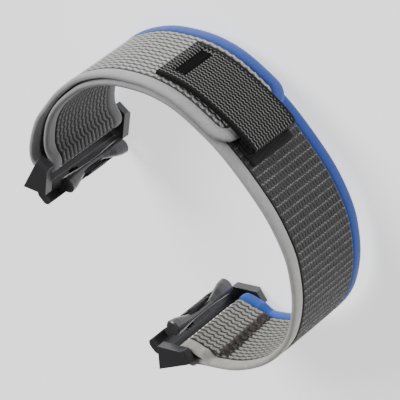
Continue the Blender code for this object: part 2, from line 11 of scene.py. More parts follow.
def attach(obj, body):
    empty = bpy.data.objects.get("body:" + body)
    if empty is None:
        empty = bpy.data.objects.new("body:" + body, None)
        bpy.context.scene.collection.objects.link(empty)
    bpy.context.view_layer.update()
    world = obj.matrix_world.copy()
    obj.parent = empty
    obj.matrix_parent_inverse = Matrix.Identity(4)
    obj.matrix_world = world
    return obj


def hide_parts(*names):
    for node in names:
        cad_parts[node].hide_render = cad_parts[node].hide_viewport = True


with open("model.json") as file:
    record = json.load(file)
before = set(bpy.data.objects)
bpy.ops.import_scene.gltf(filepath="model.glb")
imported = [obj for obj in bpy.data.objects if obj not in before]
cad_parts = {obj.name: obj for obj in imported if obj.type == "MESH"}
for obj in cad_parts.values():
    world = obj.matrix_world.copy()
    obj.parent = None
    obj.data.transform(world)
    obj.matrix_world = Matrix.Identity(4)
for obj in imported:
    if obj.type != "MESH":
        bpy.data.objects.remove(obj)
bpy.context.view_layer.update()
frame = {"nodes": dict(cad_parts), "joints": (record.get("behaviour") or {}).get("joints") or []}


# Woven ribbon
# One length of nylon ribbon: folded round the lower bar and sewn, run round the wrist,
# threaded round the upper bar and laid back over the outside, where it ends in a round tip.
MM = 0.001
BAND_WIDTH = 21.0 * MM
CORE_THICK = 1.2 * MM
EDGE_THICK = 1.3 * MM
EDGE_WIDTH = 2.7 * MM
TIP_RADIUS = 4.6 * MM
JOIN_GAP = 0.06 * MM
LAYER_STEP = EDGE_THICK + 0.3 * MM
STATION_STEP = 0.35 * MM

# The route of its middle line, seen along the bars, as shares of the loop's reach and half height.
LOOP_REACH = 26.9 * MM
LOOP_HALF_HEIGHT = 32.65 * MM
OVERLAP_LENGTH = 63.0 * MM
OVERLAP_SETTLE = 16.5 * MM
OVERLAP_STEP = 2.0 * MM
BAR_BACK = 20.6 * MM
BAR_APART = 48.0 * MM
FOLD_RADIUS = 0.85 * MM + EDGE_THICK / 2
FLAP_SHARES = ((-0.498, -0.850), (-0.558, -0.793), (-0.628, -0.732), (-0.691, -0.697))
RUN_SHARES = (
    (-0.708, -0.812), (-0.426, -0.940), (-0.139, -1.000), (0.108, -0.998), (0.346, -0.949),
    (0.580, -0.833), (0.755, -0.692), (0.885, -0.533), (0.974, -0.306), (1.000, -0.058),
    (0.993, 0.153), (0.954, 0.319), (0.888, 0.490), (0.796, 0.619), (0.658, 0.738),
    (0.428, 0.870), (0.167, 0.946), (-0.056, 0.962), (-0.257, 0.954), (-0.431, 0.919),
    (-0.569, 0.861), (-0.662, 0.799),
)
RETURN_SHARES = (
    (-0.866, 0.730), (-0.900, 0.778), (-0.850, 0.838), (-0.721, 0.904), (-0.554, 0.961),
    (-0.401, 0.985),
)
hinges = {joint["name"]: Vector(joint["pos_m"]) for joint in frame["joints"] if joint["type"] == "hinge"}
LOOP_CENTRE = sum(hinges.values(), Vector()) / len(hinges) + Vector((BAR_BACK, 0, 0))


def arc(centre, radius, start, end, steps):
    """Points on a circular arc in the loop's plane."""
    turns = [start + (end - start) * i / steps for i in range(steps + 1)]
    return [Vector((centre[0] + radius * math.cos(t), centre[1] + radius * math.sin(t))) for t in turns]


def spline(points, steps=12):
    """Catmull-Rom curve through the points."""
    ends = [points[0] * 2 - points[1]] + points + [points[-1] * 2 - points[-2]]
    curve = []
    for a, b, c, d in zip(ends, ends[1:], ends[2:], ends[3:]):
        for i in range(steps):
            t = i / steps
            bend = (a * 2 - b * 5 + c * 4 - d) * t * t + (b * 3 - a - c * 3 + d) * t * t * t
            curve.append((b * 2 + (c - a) * t + bend) / 2)
    curve.append(points[-1].copy())
    return curve


class Route:
    """A strip's middle line in the loop's plane, with a normal at each point."""

    def __init__(self, points):
        self.points = [points[0]]
        for point in points[1:]:
            if (point - self.points[-1]).length > STATION_STEP / 20:
                self.points.append(point)
        self.stations = [0.0]
        for before, after in zip(self.points, self.points[1:]):
            self.stations.append(self.stations[-1] + (after - before).length)
        self.normals = []
        last = len(self.points) - 1
        for i in range(last + 1):
            ahead = (self.points[min(i + 1, last)] - self.points[max(i - 1, 0)]).normalized()
            self.normals.append(Vector((ahead.y, -ahead.x)))
        self.length = self.stations[-1]
        self.index = 0

    def at(self, distance):
        """The point at a distance from the start, and the normal there."""
        distance = min(max(distance, 0.0), self.length)
        i = self.index if self.stations[self.index] <= distance else 0
        while i < len(self.stations) - 2 and self.stations[i + 1] < distance:
            i += 1
        self.index = i
        share = (distance - self.stations[i]) / (self.stations[i + 1] - self.stations[i])
        place = self.points[i].lerp(self.points[i + 1], share)
        return place, self.normals[i].lerp(self.normals[i + 1], share).normalized()

    def offset(self, distance, outward):
        """The point at a distance from the start, moved out along the normal."""
        place, normal = self.at(distance)
        return place + normal * outward

    def bend(self, distance, width, height):
        """A point of the flat pattern, bent along the route and set down in the frame."""
        place = self.offset(distance, height)
        return LOOP_CENTRE + Vector((place.x, place.y, width))


def from_shares(shares):
    """Points of the route, given as shares of the loop's reach and half height."""
    return [Vector((x * LOOP_REACH, y * LOOP_HALF_HEIGHT)) for x, y in shares]


lower_fold = arc((-BAR_BACK, -BAR_APART / 2), FOLD_RADIUS, math.radians(75), math.radians(236), 24)
upper_fold = arc((-BAR_BACK, BAR_APART / 2), FOLD_RADIUS, math.radians(345), math.radians(240), 16)
RUN = Route(spline([lower_fold[-1]] + from_shares(RUN_SHARES) + [upper_fold[0]]))
TIP_STATION = RUN.length - OVERLAP_LENGTH
flap = spline(from_shares(FLAP_SHARES) + [lower_fold[0]])
settled_length = OVERLAP_LENGTH - OVERLAP_SETTLE
laid = int(settled_length / OVERLAP_STEP)
layer = []
for i in range(laid, -1, -1):
    layer.append(RUN.offset(TIP_STATION + settled_length * i / laid, LAYER_STEP))
loose = spline([upper_fold[-1]] + from_shares(RETURN_SHARES) + [layer[0]])
RIBBON = Route(flap + lower_fold + RUN.points + upper_fold + loose + spline(layer))
FLAP_LENGTH = Route(flap).length
FLAP_END = FLAP_LENGTH + Route(lower_fold).length
RUN_END = FLAP_END + RUN.length
UPPER_FOLD_END = RUN_END + Route(upper_fold).length

# How the cloth really lies: the sewn flap is cut short at a slant and pressed to the run, and
# the two folds stand full off their bars.
FLAP_TRIM = 2.4 * MM
FLAP_SLANT = 0.5 * MM
FLAP_EASE = 6.0 * MM
FLAP_DROP = 1.6 * MM
FLAP_DROP_FROM = 9.8 * MM
FLAP_DROP_TO = 5.0 * MM
FLAP_PRESS_SHARE = 0.45
FOLD_SWELL_SHARE = 0.2
LOWER_FOLD_LIFT = 0.5 * MM
UPPER_FOLD_LIFT = 0.25 * MM
core_half = BAND_WIDTH / 2 - EDGE_WIDTH - JOIN_GAP


def ease(value, start, end):
    """0 before start and 1 past end, smooth between the two."""
    share = min(max((value - start) / (end - start), 0.0), 1.0)
    return share * share * (3 - 2 * share)


def trimmed(along, across, trim):
    """The sewn flap is cut off at a slight slant; what is left takes up its place."""
    return along + (trim - FLAP_SLANT * across / core_half) * max(1 - along / FLAP_EASE, 0.0)


def within(along, start, end):
    """1 on a fold, and 0 from one fold radius before it and after it."""
    return ease(along, start - FOLD_RADIUS, start) * ease(along, end + FOLD_RADIUS, end)


def lay(along, across, height, press_share, sink=0.0):
    """Set a point of the pattern down, with the flap pressed down and the folds full."""
    near_cut = ease(along, FLAP_DROP_TO, FLAP_TRIM)
    drop = FLAP_DROP * ease(along, FLAP_DROP_FROM, FLAP_DROP_TO) + sink * near_cut
    lower = within(along, FLAP_LENGTH, FLAP_END)
    upper = within(along, RUN_END, UPPER_FOLD_END)
    swell = 1 + FOLD_SWELL_SHARE * max(lower, upper)
    lift = LOWER_FOLD_LIFT * lower - UPPER_FOLD_LIFT * upper - drop
    return RIBBON.bend(along, across, height * (1 - press_share * near_cut) * swell + lift)


def linear(hex_colour):
    """An sRGB hex value as the linear colour that a shader takes."""
    parts = [int(hex_colour[i:i + 2], 16) / 255 for i in (1, 3, 5)]
    return tuple(c / 12.92 if c <= 0.04045 else ((c + 0.055) / 1.055) ** 2.4 for c in parts) + (1.0,)


def add(tree, kind, inputs=(), out=None, **settings):
    """Add one shader node with its settings and links, and return its output, or the one named.

    An input is a value or the socket that feeds it.
    """
    made = tree.nodes.new("ShaderNode" + kind)
    for name, value in settings.items():
        setattr(made, name, value)
    for socket, value in (inputs.items() if isinstance(inputs, dict) else enumerate(inputs)):
        if isinstance(value, bpy.types.NodeSocket):
            tree.links.new(value, made.inputs[socket])
        else:
            made.inputs[socket].default_value = value
    return made.outputs[out] if out else next(each for each in made.outputs if each.enabled)


def finish_named(name, roughness, **sockets):
    """A new material with its shader's own values set."""
    mat = bpy.data.materials.new(name)
    mat.use_nodes = True
    shader = mat.node_tree.nodes["Principled BSDF"]
    shader.inputs["Roughness"].default_value = roughness
    for socket, value in sockets.items():
        shader.inputs[socket.replace("_", " ")].default_value = value
    return mat, mat.node_tree, shader


def weave_places(tree):
    """A spot's place in the weave, then how far it is along, across and off the middle.

    All are in millimetres, so a noise on the place has its scale in specks per millimetre.
    """
    place = add(tree, "Attribute", out="Vector", attribute_name="weave_mm")
    along = add(tree, "SeparateXYZ", (place,))
    return place, *along.node.outputs


def thread_swing(tree, position, pitch, shift=0.0):
    """A height that goes from 0 to 1 and back once in each pitch, as over round threads."""
    turned = add(tree, "Math", (position, math.tau * MM / pitch, shift), operation="MULTIPLY_ADD")
    sine = add(tree, "Math", (turned,), operation="SINE")
    return add(tree, "Math", (sine, 0.5, 0.5), operation="MULTIPLY_ADD")


# Nylon woven in ribs, the side that faces the wrist and then the outside of the free end:
# light matt cords run along the ribbon, 1.1 mm apart, with dark wavy gaps between them.
# Each cord shows slanting yarns, two to a wave.
RIBS = 14
COLUMNS_PER_RIB = 4
RIB_PITCH = 2 * core_half / RIBS
RIB_DEPTH = 0.2 * MM
WAVE_LENGTH = 1.77 * MM
WAVE_HEIGHT = 0.15 * MM
WAVE_SKEW_SHARE = 0.28
YARN_SLANT = 0.8
CORD_TUFTS_PER_MM = 2.6

# In millimetres: along the weave where its warm low end turns to a darker grey of painted shade over the
# upper part of the run's inside, and how far past the run's end the lighter free end, which is painted
# light, begins.
LOW_END_TO_PAINTED_SHADE = (60.0, 110.0)
PAINTED_SHADE_TO_LIT_FREE_END = (1.0, 3.5)


def ribbed_nylon():
    mat, tree, shader = finish_named("ribbed_nylon", 0.85, Sheen_Weight=0.25, Sheen_Roughness=0.5)
    place, along, across = weave_places(tree)[:3]
    turn = add(tree, "Math", (along, math.tau * MM / WAVE_LENGTH), operation="MULTIPLY")
    even = add(tree, "Math", (turn,), operation="SINE")
    twice = add(tree, "Math", (turn, 2.0), operation="MULTIPLY")
    skew = add(tree, "Math", (twice,), operation="SINE")
    sway = add(tree, "Math", (skew, -WAVE_SKEW_SHARE, even), operation="MULTIPLY_ADD")
    placed = add(tree, "Math", (sway, -WAVE_HEIGHT / MM, across), operation="MULTIPLY_ADD")
    rib = thread_swing(tree, placed, RIB_PITCH, -math.pi / 2)
    cord = add(tree, "MapRange", (rib, 0.05, 0.75), interpolation_type="SMOOTHSTEP")
    slant = add(tree, "Math", (placed, -YARN_SLANT, along), operation="MULTIPLY_ADD")
    yarn = thread_swing(tree, slant, WAVE_LENGTH / 2)
    yarn_light = add(tree, "Math", (yarn, 0.35, 0.65), operation="MULTIPLY_ADD")
    lit = add(tree, "Math", (cord, yarn_light), operation="MULTIPLY")
    grain = add(tree, "TexNoise", {"Vector": place, "Scale": CORD_TUFTS_PER_MM, "Detail": 3.0})
    uneven = add(tree, "Math", (grain, 0.5), operation="SUBTRACT")
    lit = add(tree, "Math", (uneven, 0.35, lit), operation="MULTIPLY_ADD")
    # Three tones of one cloth: the warm low end is its own tone, the darker grey is painted shade over the
    # run's inside, and the lighter free end is painted light.
    low_end, painted_shade_grey, free_end = (
        add(tree, "Mix", {0: lit, 6: linear(gap), 7: linear(cord_colour)}, data_type="RGBA")
        for gap, cord_colour in (("#34322f", "#a4a19a"), ("#3a3a3a", "#747474"), ("#464646", "#bebebc"))
    )
    to_painted_shade = add(tree, "MapRange", (along, *LOW_END_TO_PAINTED_SHADE), interpolation_type="SMOOTHSTEP")
    turns_out = [RUN_END / MM + distance for distance in PAINTED_SHADE_TO_LIT_FREE_END]
    to_free = add(tree, "MapRange", (along, *turns_out), interpolation_type="SMOOTHSTEP")
    colour = add(tree, "Mix", {0: to_painted_shade, 6: low_end, 7: painted_shade_grey}, data_type="RGBA")
    colour = add(tree, "Mix", {0: to_free, 6: colour, 7: free_end}, data_type="RGBA")
    height = add(tree, "Math", (yarn, 0.5, cord), operation="MULTIPLY_ADD")
    tree.links.new(colour, shader.inputs["Base Color"])
    relief = add(tree, "Bump", {"Height": height, "Distance": 0.12 * MM})
    tree.links.new(relief, shader.inputs["Normal"])
    return mat


# Nylon woven with fine loops for the hooks to grip, the outside of the wrist run: a dull
# dark grey ground with short black gaps, which the pale loop threads cross in rows 1.65 mm apart.
LOOP_ROW_PITCH = 1.652 * MM
LOOP_COLUMN_PITCH = 0.803 * MM
GROUND_TUFTS_PER_MM = 1.7


def looped_nylon():
    mat, tree, shader = finish_named("looped_nylon", 0.9, Sheen_Weight=0.2, Sheen_Roughness=0.5)
    place, along, across = weave_places(tree)[:3]
    from_bar = add(tree, "Math", (along, FLAP_END / MM), operation="SUBTRACT")
    row = thread_swing(tree, from_bar, LOOP_ROW_PITCH)
    column = thread_swing(tree, across, LOOP_COLUMN_PITCH)
    between_columns = add(tree, "MapRange", (column, 0.45, 0.8), interpolation_type="SMOOTHSTEP")
    between_rows = add(tree, "MapRange", (row, 0.75, 0.35), interpolation_type="SMOOTHSTEP")
    gap = add(tree, "Math", (between_columns, between_rows), operation="MULTIPLY")
    grain = add(tree, "TexNoise", {"Vector": place, "Scale": GROUND_TUFTS_PER_MM, "Detail": 4.0})
    broken = add(tree, "MapRange", (grain, 0.40, 0.58), interpolation_type="SMOOTHSTEP")
    open_share = add(tree, "Math", (broken, 0.75, 0.25), operation="MULTIPLY_ADD")
    gap = add(tree, "Math", (gap, open_share), operation="MULTIPLY")
    ground = add(tree, "Mix", {0: grain, 6: linear("#2e2e2e"), 7: linear("#484848")}, data_type="RGBA")
    colour = add(tree, "Mix", {0: gap, 6: ground, 7: linear("#121212")}, data_type="RGBA")
    on_row = add(tree, "MapRange", (row, 0.85, 1.0, 0.0, 0.3), interpolation_type="SMOOTHSTEP")
    colour = add(tree, "Mix", {0: on_row, 6: colour, 7: linear("#686866")}, data_type="RGBA")
    ridge = add(tree, "Math", (row, 0.6), operation="MULTIPLY")
    height = add(tree, "Math", (ridge, gap), operation="SUBTRACT")
    tree.links.new(colour, shader.inputs["Base Color"])
    relief = add(tree, "Bump", {"Height": height, "Distance": 0.14 * MM})
    tree.links.new(relief, shader.inputs["Normal"])
    return mat


def piece(name, points, faces, places, mats, choice=None):
    """A new object from points and faces. It keeps where each point lies in the weave."""
    mesh = bpy.data.meshes.new(name)
    mesh.from_pydata(points, [], faces)
    weave = mesh.attributes.new("weave_mm", "FLOAT_VECTOR", "POINT")
    weave.data.foreach_set("vector", [value / MM for place in places for value in place])
    for mat in mats:
        mesh.materials.append(mat)
    if choice:
        mesh.polygons.foreach_set("material_index", choice)
    shaper = bmesh.new()
    shaper.from_mesh(mesh)
    bmesh.ops.recalc_face_normals(shaper, faces=shaper.faces[:])
    shaper.to_mesh(mesh)
    shaper.free()
    mesh.shade_smooth()
    made = bpy.data.objects.new(name, mesh)
    bpy.context.collection.objects.link(made)
    return made


def strip_faces(rows, columns):
    """Faces of a strip, row by row: the outer and the inner face and the two sides, then the ends."""
    wide = columns + 1
    ring = 2 * wide
    faces = []
    for first in range(0, rows * ring, ring):
        for start in (first, first + wide):
            for a in range(start, start + columns):
                faces.append((a, a + 1, a + 1 + ring, a + ring))
        for a in (first, first + columns):
            faces.append((a, a + wide, a + wide + ring, a + ring))
    for start in (0, rows * ring):
        for a in range(start, start + columns):
            faces.append((a, a + 1, a + 1 + wide, a + wide))
    return faces


core_end = RIBBON.length - EDGE_WIDTH - JOIN_GAP
core_corner = TIP_RADIUS - EDGE_WIDTH - JOIN_GAP
core_columns = RIBS * COLUMNS_PER_RIB
core_rows = int(core_end / STATION_STEP)


def core_reach(along):
    """Half the core's width: full, and rounded off at the tip."""
    past = along - (core_end - core_corner)
    if past <= 0:
        return core_half
    return core_half - core_corner + math.sqrt(max(core_corner ** 2 - past ** 2, 0.0))


core_points, core_places, core_choice = [], [], []
for i in range(core_rows + 1):
    along = core_end * i / core_rows
    reach = core_reach(along)
    for side in (1, -1):
        for j in range(core_columns + 1):
            across = -reach + 2 * reach * j / core_columns
            laid_at = trimmed(along, across, FLAP_TRIM)
            inside = 0.0 if j in (0, core_columns) else 1.0
            height = side * CORE_THICK / 2
            shift = 0.0
            if side < 0 or along < FLAP_END:
                rib = 0.5 - 0.5 * math.cos(math.tau * j / COLUMNS_PER_RIB)
                phase = math.tau * laid_at / WAVE_LENGTH
                shift = inside * WAVE_HEIGHT * (math.sin(phase) - WAVE_SKEW_SHARE * math.sin(2 * phase))
                height = side * (CORE_THICK / 2 - RIB_DEPTH * (1 - rib))
            core_points.append(lay(laid_at, across + shift, height, FLAP_PRESS_SHARE))
            core_places.append((laid_at, across + shift, height))
for i in range(core_rows):
    outer = 0 if core_end * i / core_rows < FLAP_END else 1
    core_choice += [outer] * core_columns + [0] * (core_columns + 2)
core_choice += [0] * 2 * core_columns
core_mats = (ribbed_nylon(), looped_nylon())
core_faces = strip_faces(core_rows, core_columns)
core = piece("woven_ribbon", core_points, core_faces, core_places, core_mats, core_choice)
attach(core, "strap")
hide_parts("ribbon_core")


# Loop threads
# Light nylon threads that cross the outside of the wrist run and stand up in small loops.
# Each is a thin tube, woven in with the ribbon, that rises between the columns of the weave.
THREAD_RADIUS = 0.075 * MM
THREAD_RISE = 0.15 * MM
THREAD_SLANT = 0.14 * MM
THREAD_STRAY = 0.06 * MM
THREAD_SIDES = 4
THREAD_TWIST = 0.3 * MM
THREAD_TUFTS_PER_MM = 1.9
LOOP_POINTS_PER_COLUMN = 3
LOOP_REACH_SHARE = 0.985


def tube(points, radius, sides, ups):
    """Points and faces of a thin tube; ups gives the direction away from the cloth."""
    verts, faces = [], []
    for i, point in enumerate(points):
        ahead = (points[min(i + 1, len(points) - 1)] - points[max(i - 1, 0)]).normalized()
        up_way = (ups[i] - ahead * ups[i].dot(ahead)).normalized()
        side_way = ahead.cross(up_way)
        for k in range(sides):
            turn = math.tau * (k + 0.5) / sides
            verts.append(point + (side_way * math.cos(turn) + up_way * math.sin(turn)) * radius)
    for i in range(len(points) - 1):
        for k in range(sides):
            m = (k + 1) % sides
            faces.append((i * sides + k, i * sides + m, (i + 1) * sides + m, (i + 1) * sides + k))
    faces.append(tuple(range(sides))[::-1])
    faces.append(tuple((len(points) - 1) * sides + k for k in range(sides)))
    return verts, faces


class Threads:
    """Gathers many thin tubes into one object."""

    def __init__(self):
        self.points, self.faces, self.places = [], [], []

    def lay(self, route, pattern, radius, sides):
        """Lay one tube along flat-pattern points (along, across, height)."""
        points = [route.bend(*spot) for spot in pattern]
        ups = []
        for along, across, height in pattern:
            normal = route.at(along)[1]
            ups.append(Vector((normal.x, normal.y, 0.0)))
        verts, faces = tube(points, radius, sides, ups)
        first = len(self.points)
        self.points += verts
        self.faces += [tuple(first + k for k in face) for face in faces]
        self.places += [pattern[i // sides] for i in range(len(verts))]


def thread_nylon(name, dark, light):
    """Spun nylon thread: matt, twisted every 0.3 mm, and uneven in tone along its length."""
    mat, tree, shader = finish_named(name, 0.8, Sheen_Weight=0.3, Sheen_Roughness=0.5)
    place, along = weave_places(tree)[:2]
    grain = add(tree, "TexNoise", {"Vector": place, "Scale": THREAD_TUFTS_PER_MM, "Detail": 2.0})
    share = add(tree, "MapRange", (grain, 0.35, 0.65), interpolation_type="SMOOTHSTEP")
    colour = add(tree, "Mix", {0: share, 6: linear(dark), 7: linear(light)}, data_type="RGBA")
    tree.links.new(colour, shader.inputs["Base Color"])
    twist = thread_swing(tree, along, THREAD_TWIST)
    relief = add(tree, "Bump", {"Height": twist, "Distance": 0.03 * MM})
    tree.links.new(relief, shader.inputs["Normal"])
    return mat


loops = Threads()
loop_columns = round(2 * core_half / LOOP_COLUMN_PITCH)
loop_rows = int(RUN.length / LOOP_ROW_PITCH)
loop_steps = loop_columns * LOOP_POINTS_PER_COLUMN
for i in range(2, loop_rows - 1):
    pattern = []
    for j in range(loop_steps + 1):
        across = (-core_half + 2 * core_half * j / loop_steps) * LOOP_REACH_SHARE
        lift = 0.5 - 0.5 * math.cos(math.tau * j / LOOP_POINTS_PER_COLUMN)
        slant = (0.0, -THREAD_SLANT, THREAD_SLANT)[j % LOOP_POINTS_PER_COLUMN]
        along = FLAP_END + LOOP_ROW_PITCH * (i + 0.25) + slant
        along += THREAD_STRAY * math.sin(j * 2.3 + i * 1.7)
        height = CORE_THICK / 2 - THREAD_RADIUS * 0.6 + (THREAD_RISE * lift)
        pattern.append((along, across, height))
    loops.lay(RIBBON, pattern, THREAD_RADIUS, THREAD_SIDES)
loop_mat = thread_nylon("pale_loop_thread", "#4e4e4c", "#a6a6a2")
loop_piece = piece("loop_threads", loops.points, loops.faces, loops.places, (loop_mat,))
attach(loop_piece, "strap")


# Selvedges
# Each edge of the ribbon is a soft tubular selvedge, grey on one side and blue on the other,
# woven in one with it. They turn round the tip and meet at its middle, and at the sewn end
# they are pressed into the run's own selvedges.
SELVEDGE_SIDES = 20

# The form of its section: 2 is an ellipse, and more is squarer.
SELVEDGE_SQUARE = 2.6
EDGE_TRIM = 1.3 * MM
EDGE_PRESS_SHARE = 0.5
EDGE_SINK = 0.75 * MM
CORNER_STEPS = 12
TIP_STEPS = 8


def selvedge_path(side):
    """Flat pattern of the selvedge's middle line: (along, across, outward direction)."""
    radius = TIP_RADIUS - EDGE_WIDTH / 2
    straight = RIBBON.length - TIP_RADIUS
    count = int(straight / STATION_STEP)
    path = []
    for i in range(count + 1):
        path.append((straight * i / count, side * (BAND_WIDTH - EDGE_WIDTH) / 2, 0.0, side))
    corner = side * (BAND_WIDTH / 2 - TIP_RADIUS)
    for i in range(1, CORNER_STEPS + 1):
        turn = math.pi / 2 * i / CORNER_STEPS
        s, c = math.sin(turn), math.cos(turn)
        path.append((straight + radius * s, corner + side * radius * c, s, side * c))
    last = RIBBON.length - EDGE_WIDTH / 2
    for i in range(1, TIP_STEPS + 1):
        path.append((last, corner * (1 - i / TIP_STEPS) + side * JOIN_GAP, 1.0, 0.0))
    return path


def selvedge(name, node, side, mat):
    """Sweep a rounded section along the ribbon's edge."""
    path = selvedge_path(side)
    points, faces, places = [], [], []
    n = SELVEDGE_SIDES
    for along, across, out_along, out_across in path:
        for k in range(n):
            turn = math.tau * k / n
            c, s = math.cos(turn), math.sin(turn)
            wide = math.copysign(abs(c) ** (2 / SELVEDGE_SQUARE), c) * EDGE_WIDTH / 2
            high = math.copysign(abs(s) ** (2 / SELVEDGE_SQUARE), s) * EDGE_THICK / 2
            spot = (trimmed(along + out_along * wide, across, EDGE_TRIM), across + out_across * wide)
            points.append(lay(spot[0], spot[1], high, EDGE_PRESS_SHARE, EDGE_SINK))
            places.append((along, spot[1], high))
    for i in range(len(path) - 1):
        for k in range(n):
            m = (k + 1) % n
            faces.append((i * n + k, i * n + m, (i + 1) * n + m, (i + 1) * n + k))
    faces.append(tuple(range(n))[::-1])
    faces.append(tuple((len(path) - 1) * n + k for k in range(n)))
    made = piece(name, points, faces, places, (mat,))
    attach(made, "strap")
    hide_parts(node)
    return made


# Plain tubular weave: matt and almost smooth, with fine diagonal picks 0.45 mm apart and soft
# mottling. The half that faces the wrist turns to a plain grey.
PICK_PITCH = 0.45 * MM
MOTTLES_PER_MM = 0.9

# In millimetres along the weave: the change of tone toward the free end, where the side that
# faces the wrist begins, and where it ends past the run.
SEWN_TO_FREE = (45.0, 75.0)
WRIST_SIDE_STARTS = (85.0, 115.0)
WRIST_SIDE_ENDS = (8.0, 5.0)


def soft_selvedge(name, sewn, free, wrist_side):
    mat, tree, shader = finish_named(name, 0.78, Sheen_Weight=0.35, Sheen_Roughness=0.45)
    place, along, across, off = weave_places(tree)
    grain = add(tree, "TexNoise", {"Vector": place, "Scale": MOTTLES_PER_MM, "Detail": 5.0})
    sewn_end, free_end = (
        add(tree, "Mix", {0: grain, 6: linear(dark), 7: linear(light)}, data_type="RGBA")
        for dark, light in (sewn, free)
    )
    to_free = add(tree, "MapRange", (along, *SEWN_TO_FREE), interpolation_type="SMOOTHSTEP")
    colour = add(tree, "Mix", {0: to_free, 6: sewn_end, 7: free_end}, data_type="RGBA")
    inner_half = add(tree, "MapRange", (off, 0.3, -0.2), interpolation_type="SMOOTHSTEP")
    starts = add(tree, "MapRange", (along, *WRIST_SIDE_STARTS), interpolation_type="SMOOTHSTEP")
    turned_out = [RUN_END / MM + distance for distance in WRIST_SIDE_ENDS]
    ends = add(tree, "MapRange", (along, *turned_out), interpolation_type="SMOOTHSTEP")
    inside = add(tree, "Math", (inner_half, starts), operation="MULTIPLY")
    inside = add(tree, "Math", (inside, ends), operation="MULTIPLY")
    colour = add(tree, "Mix", {0: inside, 6: colour, 7: linear(wrist_side)}, data_type="RGBA")
    diagonal = add(tree, "Math", (along, across), operation="ADD")
    pick = thread_swing(tree, diagonal, PICK_PITCH)
    height = add(tree, "Math", (grain, 0.8, pick), operation="MULTIPLY_ADD")
    tree.links.new(colour, shader.inputs["Base Color"])
    relief = add(tree, "Bump", {"Height": height, "Distance": 0.035 * MM})
    tree.links.new(relief, shader.inputs["Normal"])
    return mat


# Past the sewn end the grey selvedge takes a darker tone, which is in part painted shade along the run.
grey_mat = soft_selvedge("grey_nylon_selvedge", ("#a3a19a", "#c8c5bd"), ("#9c9c9c", "#b9b9b9"), "#8c8c8c")
blue_mat = soft_selvedge("blue_nylon_selvedge", ("#06409c", "#1258b8"), ("#23439c", "#3156ae"), "#747474")
grey = selvedge("grey_selvedge", "grey_edge_binding", 1, grey_mat)
blue = selvedge("blue_selvedge", "blue_edge_binding", -1, blue_mat)


# Row of close stitching
# The folded end is sewn down on the inside with a dense zigzag in dark brown thread, which
# sinks into the weave and runs over the cut end onto the wrist run.
SEAM_FROM_BAR = 5.1 * MM
SEAM_LENGTH = 2.1 * MM
SEAM_ON_FLAP = 1.55 * MM
SEAM_ON_RUN = 0.72 * MM
SEAM_START_LIFT = 0.35 * MM
SEAM_LEAN = 0.35 * MM
SEAM_START_STRAY = 0.25 * MM
SEAM_LENGTH_STRAY = 0.2 * MM
SEAM_THREAD_RADIUS = 0.17 * MM
SEAM_THREAD_SIDES = 6
SEAM_THREADS = 46
SEAM_STEPS = 8
seam = Threads()
for i in range(SEAM_THREADS):
    across = (2 * (i + 0.5) / SEAM_THREADS - 1) * (core_half - SEAM_THREAD_RADIUS)
    sideways = SEAM_LEAN * math.sin(i * 2.1)
    early = SEAM_START_STRAY * math.sin(i * 1.3)
    length = SEAM_LENGTH + SEAM_LENGTH_STRAY * math.sin(i * 3.7)
    pattern = []
    for j in range(SEAM_STEPS + 1):
        share = j / SEAM_STEPS
        along = SEAM_FROM_BAR + early + length * share
        along += FLAP_SLANT * across / core_half
        height = -SEAM_ON_FLAP + (SEAM_ON_FLAP - SEAM_ON_RUN) * ease(share, 0.15, 0.9)
        height += SEAM_START_LIFT * (1 - ease(share, 0.0, 0.2))
        pattern.append((along, across + sideways * (share - 0.5), height))
    thickness = 1.0 + 0.25 * math.sin(i * 5.1)
    seam.lay(RUN, pattern, SEAM_THREAD_RADIUS * thickness, SEAM_THREAD_SIDES)
seam_mat = thread_nylon("brown_sewing_thread", "#1c1411", "#4a3f3a")
seam_piece = piece("seam_threads", seam.points, seam.faces, seam.places, (seam_mat,))
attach(seam_piece, "strap")
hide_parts("end_seam_stitching")


# Pull tab
# Black nylon webbing sewn to the free end, slightly askew, and folded under at its own end so
# that fingers can pull it. The patch is sunk into it near its fixed end.
TAB_WIDTH = 12.8 * MM
TAB_LEAN = 1.0 * MM
TAB_LEAN_AT_FOLD = 0.35 * MM
TAB_THICK = 0.9 * MM
TAB_GAP = 0.2 * MM
TAB_ON_TONGUE = 19.0 * MM
TAB_PAST_TONGUE = 2.9 * MM
TAB_RETURN = 2.4 * MM
TAB_FOLD_INSET = 0.3 * MM
TAB_EDGE_ROUND = 0.22 * MM
TAB_GRID = 0.3 * MM
TAB_STEPS = 40
TAB_FOLD_STEPS = 12
TAB_RETURN_STEPS = 4
HOOK_THICK = 0.6 * MM
HOOK_GAP = 0.2 * MM
SLOT_FROM_END = 1.9 * MM
SLOT_LENGTH = 3.0 * MM
SLOT_WIDTH = 8.7 * MM
SLOT_SHIFT = -0.6 * MM
SLOT_DEPTH = 0.55 * MM
SLOT_EDGE = 0.3 * MM
tab_over = LAYER_STEP + EDGE_THICK / 2 + TAB_GAP + TAB_THICK / 2
tab_under = EDGE_THICK / 2 + HOOK_GAP + HOOK_THICK + HOOK_GAP + TAB_THICK / 2
tab_outer = tab_under + TAB_THICK + TAB_FOLD_INSET
tab_start = TIP_STATION + TAB_ON_TONGUE
tab_end = TIP_STATION - TAB_PAST_TONGUE
tab_line = []
for i in range(TAB_STEPS + 1):
    share = i / TAB_STEPS
    level = tab_over + (tab_outer - tab_over) * share
    tab_line.append(RUN.offset(tab_start + (tab_end - tab_start) * share, level))
fold_place, fold_normal = RUN.at(tab_end)
fold_ahead = Vector((fold_normal.y, -fold_normal.x))
fold_middle = fold_place + fold_normal * (tab_outer + tab_under) / 2
fold_radius = (tab_outer - tab_under) / 2
for i in range(1, TAB_FOLD_STEPS):
    turn = math.pi * i / TAB_FOLD_STEPS
    tab_line.append(fold_middle + (fold_normal * math.cos(turn) + fold_ahead * math.sin(turn)) * fold_radius)
for i in range(TAB_RETURN_STEPS + 1):
    tab_line.append(RUN.offset(tab_end + TAB_RETURN * i / TAB_RETURN_STEPS, tab_under))
TAB = Route(tab_line)

